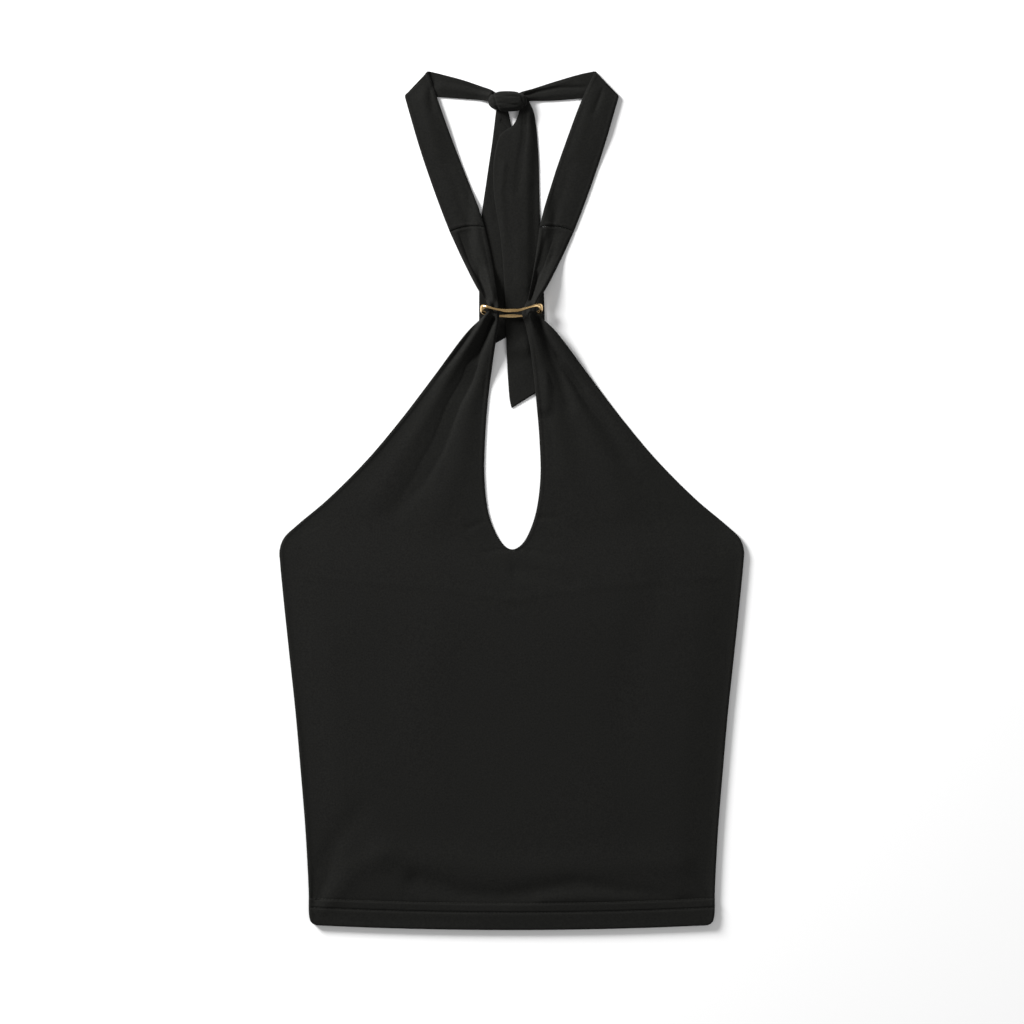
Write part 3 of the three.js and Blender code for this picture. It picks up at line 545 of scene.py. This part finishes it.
def front_half(side):
    """Lower and upper faces of one half of the front panel."""
    x, y, edge = front_grid(side)
    top = front_top(x, y, edge)
    rest = front_rest(x, y)
    thickness = CLOTH + HEM_EXTRA * smooth((HEM_DEPTH - (y - hem_y(x))) / 2)
    bottom = np.maximum(top - thickness, np.minimum(rest, top - THINNEST))
    # at the side seams the panel turns down to the back panel
    sides = np.array(FRONT_SECTIONS)[:SIDE_SEAM_ROWS]
    at_side = np.abs(x) > np.interp(y, sides[:, 1], sides[:, 0]) - SIDE_TURN
    side_seam = at_side & (y < SIDE_SEAM_TOP_Y)
    bottom = np.where(side_seam, SIDE_REST, bottom)
    middle = np.where(side_seam, 0.5 * (bottom + top), bottom + 0.35 * (top - bottom))
    profile = edge_profile(edge)
    upper = middle + (top - middle) * profile
    lower = middle + (bottom - middle) * profile
    lower_grid = np.stack([x, y, lower], axis=2)
    upper_grid = np.stack([x, y, upper], axis=2)
    if side < 0:
        lower_grid, upper_grid = lower_grid[:, ::-1], upper_grid[:, ::-1]
    return lower_grid, upper_grid


def joined_wall(grids):
    """Closed wall from several (lower, upper) grids that share points along an edge."""
    lower = np.concatenate([pair[0].reshape(-1, 3) for pair in grids])
    upper = np.concatenate([pair[1].reshape(-1, 3) for pair in grids])
    quads, start = [], 0
    for pair in grids:
        rows, columns = pair[0].shape[:2]
        quads += grid_faces(rows, columns, start)
        start += rows * columns
    _, kept, index = np.unique(np.round(lower[:, :2], 3), axis=0, return_index=True, return_inverse=True)
    quads = index.ravel()[np.array(quads)]
    lower, upper = lower[kept], upper[kept]
    count = len(lower)
    edges = {}  # in the order in which they are met
    for a, b, c, d in quads.tolist():
        for pair in ((a, b), (b, c), (c, d), (d, a)):
            edges[pair] = True
    faces = (quads[:, ::-1]).tolist() + (quads + count).tolist()
    for a, b in edges:
        if a != b and (b, a) not in edges:
            faces.append([a, b, b + count, a + count])
    return np.concatenate([lower, upper]), faces


def front_panel():
    points, faces = joined_wall([front_half(-1), front_half(1)])
    return mesh_object("front_panel_cloth", points, faces, JERSEY)


front = front_panel()


# ------------------------------------------------------------------ back panel
def back_panel():
    sides = np.array(FRONT_SECTIONS)[:SIDE_SEAM_ROWS]
    near = np.array([0, 0.3, 0.8, 1.5, 2.6]) / 285
    heights = np.concatenate([near, np.linspace(0.014, 0.986, BACK_ROWS), 1 - near[::-1]])
    across = 2 * edge_spaced(BACK_COLUMNS, 350.0) - 1
    v, u = np.meshgrid(heights, across, indexing="ij")
    side_y = -331.0 + (-47.5 + 331.0) * v
    half = np.interp(side_y, sides[:, 1], sides[:, 0]) - BACK_INSET
    corner = 1 - np.clip((-326 - side_y) / 5, 0, 1) ** 2 * 0.02
    x = u * half * corner
    hem = hem_y(x) + 0.6
    y = hem + (back_top(x) - hem) * v
    edge = np.minimum(np.minimum((1 - np.abs(u)) * half, y - hem), back_top(x) - y)
    edge = np.maximum(edge, 0)
    above = y - hem
    groove = sum(0.3 * np.exp(-((above - row) / 0.9) ** 2) for row in HEM_ROWS)
    top = 1.3 + 0.5 * smooth((HEM_DEPTH + 1 - above) / 2)
    uneven = 0.12 * smooth(edge / 10) * (0.5 + 0.5 * np.sin(x / 23 + 1.4 * np.sin(y / 41)))
    bottom = uneven + groove * 0.6
    middle = 0.5 * (top + bottom)
    profile = edge_profile(edge)
    lower = np.stack([x, y, middle + (bottom - middle) * profile], axis=2)
    upper = np.stack([x, y, middle + (top - middle) * profile], axis=2)
    points, faces = closed_wall(lower, upper)
    return mesh_object("back_panel_cloth", points, faces, JERSEY)


back = back_panel()


# ------------------------------------------------------------------ straps and tails
def ribbon_normals(grid):
    """Unit normals of a grid of points."""
    along = np.gradient(grid, axis=0)
    across = np.gradient(grid, axis=1)
    normal = np.cross(across, along)
    return normal / np.maximum(np.linalg.norm(normal, axis=2, keepdims=True), 1e-9)


def strap_top_layer(side, across):
    """From the seam to the shoulder crease, over the tails and the under layer."""
    rows = np.array(STRAP_FRONT[side])
    flip = np.array([side, 1.0])
    station = np.linspace(0, len(rows) - 1, 84)
    outer = spline(rows[:, :2] * flip, station)
    inner = spline(rows[:, 2:] * flip, station)
    layer = inner[:, None] + across[None, :, None] * (outer - inner)[:, None]
    near_seam = smooth((3 - station * 8) / 3)[:, None]
    layer[:, :, 1] += (SEAM_BOW * 4 * across * (1 - across))[None] * near_seam
    x, y = layer[:, :, 0], layer[:, :, 1]
    t = (station / station[-1])[:, None]
    camber = STRAP_CAMBER * 4 * across * (1 - across)
    height = np.maximum(over_tails(x), STRAP_FACE * smooth((t - 0.42) / 0.3))
    height = height + (camber + fold_height(STRAP_FOLDS[side], x, y)) * smooth((0.985 - t) / 0.12)
    height = height + undulation(x, y, 13.0, 0.16) * smooth((0.98 - t) / 0.1)
    return np.dstack([x, y, np.maximum(height, 0.05)])


def strap_under_layer(side, across):
    """From the shoulder crease to the knot."""
    rows = np.array(STRAP_BACK[side])
    flip = np.array([side, 1.0])
    station = np.linspace(0, len(rows) - 1, 60)
    top_edge = spline(rows[:, :2] * flip, station)
    bottom_edge = spline(rows[:, 2:] * flip, station)
    layer = top_edge[:, None] + across[None, :, None] * (bottom_edge - top_edge)[:, None]
    x, y = layer[:, :, 0], layer[:, :, 1]
    t = (station / station[-1])[:, None]
    into_knot = 2.4 * smooth((t - 0.62) / 0.2) * (1 - 0.9 * smooth((t - 0.86) / 0.14))
    camber = 0.8 * STRAP_CAMBER * 4 * across * (1 - across)
    shown = smooth((t - 0.18) / 0.12)
    height = CLOTH + 0.02 + into_knot
    height = height + (camber + fold_height(BACK_RUN_FOLDS[side], x, y)) * shown
    return np.dstack([x, y, np.maximum(height, CLOTH)])


def strap_sheet(side):
    """Inner face of the strap: top layer, turn of the fold, under layer. One grid."""
    across = edge_spaced(26, 26.0)
    top_layer = strap_top_layer(side, across)
    crease = (top_layer[-1, -1] - top_layer[-1, 0])[:2]
    crease = crease / np.linalg.norm(crease)
    outward = np.array([-crease[1], crease[0], 0.0]) * side
    radius = (STRAP_FACE - CLOTH) / 2
    reach = CLOTH + radius
    top_layer[-1] -= outward * reach
    top_layer[-1, :, 2] = STRAP_FACE
    turn = []
    for angle in np.linspace(0, np.pi, 9)[1:-1]:
        line = top_layer[-1] + outward * radius * np.sin(angle)
        line[:, 2] = STRAP_FACE - radius * (1 - np.cos(angle))
        turn.append(line)
    under_layer = strap_under_layer(side, across)
    under_layer[0] -= outward * reach
    return np.concatenate([top_layer, np.array(turn), under_layer]), across


def strap(side, name):
    sheet, across = strap_sheet(side)
    normals = ribbon_normals(sheet) * side
    count = len(sheet)
    width = np.linalg.norm(sheet[:, -1] - sheet[:, 0], axis=1)[:, None]
    edge = np.minimum(across[None], 1 - across[None]) * width
    edge = np.minimum(edge, np.minimum(np.arange(count), count - 1 - np.arange(count))[:, None] * 0.6)
    profile = edge_profile(edge, STRIP_EDGE)
    roll = 0.25 * np.exp(-((edge - 2.0) / 0.9) ** 2)
    middle = sheet + normals * (0.4 * CLOTH)
    lower = middle - normals * (0.4 * CLOTH * profile)[:, :, None]
    upper = middle + normals * ((0.6 * CLOTH + roll) * profile)[:, :, None]
    if side < 0:
        lower, upper = lower[:, ::-1], upper[:, ::-1]
    points, faces = closed_wall(lower, upper)
    return mesh_object(name, points, faces, JERSEY)


strap_left = strap(-1, "strap_left_cloth")
strap_right = strap(1, "strap_right_cloth")


def tail(name, stations, folds, rest_at):
    """A free end of a strap, pressed flat on what rest_at gives, with its end cut on a slant."""
    rows = np.array(stations)
    across = edge_spaced(30, 28.0)
    t = np.linspace(0, len(rows) - 1, 150)
    left = spline(rows[:, :2], t)
    right = spline(rows[:, 2:], t)
    grid = left[:, None] + across[None, :, None] * (right - left)[:, None]
    x, y = grid[:, :, 0], grid[:, :, 1]
    width = np.linalg.norm(right - left, axis=1)[:, None]
    edge = np.minimum(across[None], 1 - across[None]) * width
    ends = np.minimum(t, t[-1] - t)[:, None] * 14
    edge = np.minimum(edge, ends)
    camber = 0.45 * (4 * across * (1 - across))[None]
    shape = camber + fold_height(folds, x, y) + undulation(x, y, 15.0, 0.2)
    rise = np.maximum(shape * smooth(edge / 3), 0.0)
    under_ring = smooth((y - 120) / 10) * smooth((168 - y) / 10)
    into_knot = 1.6 * smooth((y - 292) / 14)
    bottom = rest_at(x, y) + rise * (1 - under_ring) + into_knot
    top = bottom + 0.85 * CLOTH
    middle = bottom + 0.4 * (top - bottom)
    profile = edge_profile(edge, TAIL_EDGE)
    lower = np.dstack([x, y, middle + (bottom - middle) * profile])
    upper = np.dstack([x, y, middle + (top - middle) * profile])
    points, faces = closed_wall(lower[::-1], upper[::-1])
    return mesh_object(name, points, faces, JERSEY)


def left_tail_rest(x, y):
    """The left tail lies on the surface."""
    return np.zeros_like(x + y)


def right_tail_rest(x, y):
    """The right tail lies on the left one and comes down beside it."""
    across_left = smooth((LEFT_TAIL_INNER_X + 2 * DRAPE - x) / DRAPE)
    above_left_end = smooth((y - LEFT_TAIL_END_Y + DRAPE) / DRAPE)
    return ON_TAIL * across_left * above_left_end


tail_left = tail("tail_left_cloth", TAIL_LEFT, TAIL_FOLDS["left"], left_tail_rest)
tail_right = tail("tail_right_cloth", TAIL_RIGHT, TAIL_FOLDS["right"], right_tail_rest)


# ------------------------------------------------------------------ knot
def signed_power(value, power):
    """A power under 1 makes a round form fuller towards its corners."""
    return np.sign(value) * np.abs(value) ** power


def knot_body():
    """A squeezed lump of cloth with grooves where the wraps press into each other."""
    rows, columns = 72, 120
    polar = np.linspace(0.0, np.pi, rows)
    turn = np.linspace(0, 2 * np.pi, columns, endpoint=False)
    p, a = np.meshgrid(polar, turn, indexing="ij")
    ux = np.cos(p)
    uy = np.sin(p) * np.cos(a)
    uz = np.sin(p) * np.sin(a)
    groove = np.zeros_like(ux)
    for offset, depth, width in KNOT_CREASES:
        groove += depth * np.exp(-((ux + 0.20 * uy - offset) / width) ** 2)
    groove += 0.06 * np.exp(-((uy - 0.35 + 0.2 * ux) / 0.10) ** 2) * smooth((0.62 - np.abs(ux)) / 0.2)
    groove += 0.05 * np.exp(-((uy + 0.30 + 0.3 * ux) / 0.09) ** 2) * smooth((0.55 - np.abs(ux)) / 0.2)
    ripple = 0.02 * np.sin(9 * uy + 5 * ux + 1.0) + 0.012 * np.sin(17 * uy - 6 * ux)
    scale = 1 - groove + ripple
    x = KNOT_CENTRE[0] + KNOT_RADII[0] * signed_power(ux, 0.72) * (1 - 0.4 * groove)
    narrower = 0.90 + 0.10 * (1 - np.abs(ux))
    y = KNOT_CENTRE[1] + KNOT_RADII[1] * signed_power(uy, 0.78) * scale * narrower
    z = KNOT_CENTRE[2] + KNOT_RADII[2] * signed_power(uz, 0.9) * scale
    z = np.maximum(z, 0.0)
    points = np.dstack([x, y, z]).reshape(-1, 3)
    faces = []
    for row in range(rows - 1):
        for column in range(columns):
            a = row * columns + column
            b = row * columns + (column + 1) % columns
            faces.append([a, b, b + columns, a + columns])
    return mesh_object("knot_cloth", points, faces, JERSEY, merge=0.01)


knot = knot_body()


# ------------------------------------------------------------------ ring
def ring_bar():
    """A closed bar along the ring's stations, with an oval section."""
    stations = np.array(RING_STATIONS)
    steps, sides = 260, 28
    t = np.arange(steps) / steps * len(stations)
    path = spline(stations[:, :3], t, closed=True)
    size = spline(stations[:, 3:], t, closed=True)
    tangent = np.roll(path, -1, axis=0) - np.roll(path, 1, axis=0)
    tangent /= np.linalg.norm(tangent, axis=1, keepdims=True)
    across = np.cross(tangent, [0, 1, 0])
    across /= np.linalg.norm(across, axis=1, keepdims=True)
    along = np.cross(across, tangent)
    angle = np.linspace(0, 2 * np.pi, sides, endpoint=False)
    points = (path[:, None] + across[:, None] * (size[:, None, 0:1] * np.cos(angle)[None, :, None])
              + along[:, None] * (size[:, None, 1:2] * np.sin(angle)[None, :, None]))
    faces = []
    for step in range(steps):
        for side in range(sides):
            here = step * sides
            ahead = ((step + 1) % steps) * sides
            after = (side + 1) % sides
            faces.append([here + side, ahead + side, ahead + after, here + after])
    return mesh_object("ring_metal_bar", points.reshape(-1, 3), faces, GOLD)


ring = ring_bar()


# ------------------------------------------------------------------ stitches
def thread_mesh(name, starts, ends):
    """Short lengths of thread joined into one mesh."""
    sides = 6
    sections = ((0.0, 0.35), (0.12, 0.9), (0.5, 1.0), (0.88, 0.9), (1.0, 0.35))
    angle = np.linspace(0, 2 * np.pi, sides, endpoint=False)
    points, faces = [], []
    for start, end in zip(starts, ends):
        direction = (end - start) / np.linalg.norm(end - start)
        sideways = np.array([-direction[1], direction[0], 0.0])
        first = len(points)
        for share, size in sections:
            centre = start + (end - start) * share
            for a in angle:
                offset = sideways * np.cos(a) + np.array([0, 0, np.sin(a)])
                points.append(centre + offset * THREAD_RADIUS * size)
        for section in range(len(sections) - 1):
            for k in range(sides):
                a = first + section * sides + k
                b = first + section * sides + (k + 1) % sides
                faces.append([a, b, b + sides, a + sides])
        faces.append([first + k for k in range(sides)][::-1])
        faces.append([first + (len(sections) - 1) * sides + k for k in range(sides)])
    return mesh_object(name, points, faces, THREAD)


def hem_stitches(name, height_at, inset):
    """Both rows of stitches, each stitch slightly slanted."""
    starts, ends = [], []
    for row in HEM_ROWS:
        x = -STITCH_REACH + inset
        while x < STITCH_REACH - inset - STITCH_LENGTH:
            x_end = x + STITCH_LENGTH
            starts.append(np.array([x, hem_y(x) + row, height_at(x, row)]))
            ends.append(np.array([x_end, hem_y(x_end) + row + 0.08, height_at(x_end, row)]))
            x += STITCH_PITCH
    return thread_mesh(name, starts, ends)


def on_front(x, row):
    """Height of a stitch on the front's hem."""
    px, py = np.array([x]), np.array([hem_y(x) + row])
    edge = np.minimum(np.full(1, row), 157.9 - np.abs(px))
    return float(front_top(px, py, edge)[0]) + THREAD_LIFT


def on_back(x, row):
    """The back's stitches lie on its outer face, which is underneath."""
    return 0.22


stitches_front = hem_stitches("hem_stitches_front", on_front, 1.0)
stitches_back = hem_stitches("hem_stitches_back", on_back, 2.0)

# ------------------------------------------------------------------ bodies, with the CAD parts they stand in for hidden
PIECES = {
    front: "front_panel",
    back: "back_panel",
    strap_left: "neck_strap_left",
    strap_right: "neck_strap_right",
    tail_left: "tail_left",
    tail_right: "tail_right",
    knot: "knot",
    ring: "ring",
}
for piece, cad_node in PIECES.items():
    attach(piece, "root")
    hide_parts(cad_node)
for piece in (stitches_front, stitches_back):
    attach(piece, "root")


# ------------------------------------------------------------------ floor, light, camera
def floor():
    half = 12.0
    corners = [(-half, -half, 0), (half, -half, 0), (half, half, 0), (-half, half, 0)]
    mesh = bpy.data.meshes.new("floor")
    mesh.from_pydata(corners, [], [(0, 1, 2, 3)])
    thing = bpy.data.objects.new("floor", mesh)
    bpy.context.scene.collection.objects.link(thing)
    thing.location.z = -0.0001
    material = bpy.data.materials.new("pale_floor")
    material.use_nodes = True
    shader = material.node_tree.nodes["Principled BSDF"]
    shader.inputs["Base Color"].default_value = (0.9, 0.9, 0.9, 1)
    shader.inputs["Roughness"].default_value = 0.9
    shader.inputs["Specular IOR Level"].default_value = 0.0
    mesh.materials.append(material)


def area_light(name, place, size, power):
    light = bpy.data.lights.new(name, "AREA")
    light.shape = "DISK"
    light.size = size
    light.energy = power
    thing = bpy.data.objects.new(name, light)
    thing.location = place
    thing.rotation_euler = (Vector((0, 0, 0)) - Vector(place)).to_track_quat("-Z", "Y").to_euler()
    bpy.context.scene.collection.objects.link(thing)


floor()
area_light("key", (-1.9, 1.6, 1.05), 1.0, 175.0)
area_light("fill", (1.6, -0.6, 2.0), 1.8, 12.0)

world = bpy.data.worlds.new("studio")
bpy.context.scene.world = world
world.use_nodes = True
world.node_tree.nodes["Background"].inputs["Color"].default_value = (1, 1, 1, 1)
world.node_tree.nodes["Background"].inputs["Strength"].default_value = 0.33
bpy.context.scene.view_settings.view_transform = "Standard"

camera_data = bpy.data.cameras.new("camera")
camera_data.lens = CAMERA_LENS
camera_data.sensor_width = 36.0
camera_data.clip_end = 20.0
camera = bpy.data.objects.new("camera", camera_data)
camera.location = (CAMERA_CENTRE[0], CAMERA_CENTRE[1], CAMERA_DISTANCE)
bpy.context.scene.collection.objects.link(camera)
bpy.context.scene.camera = camera
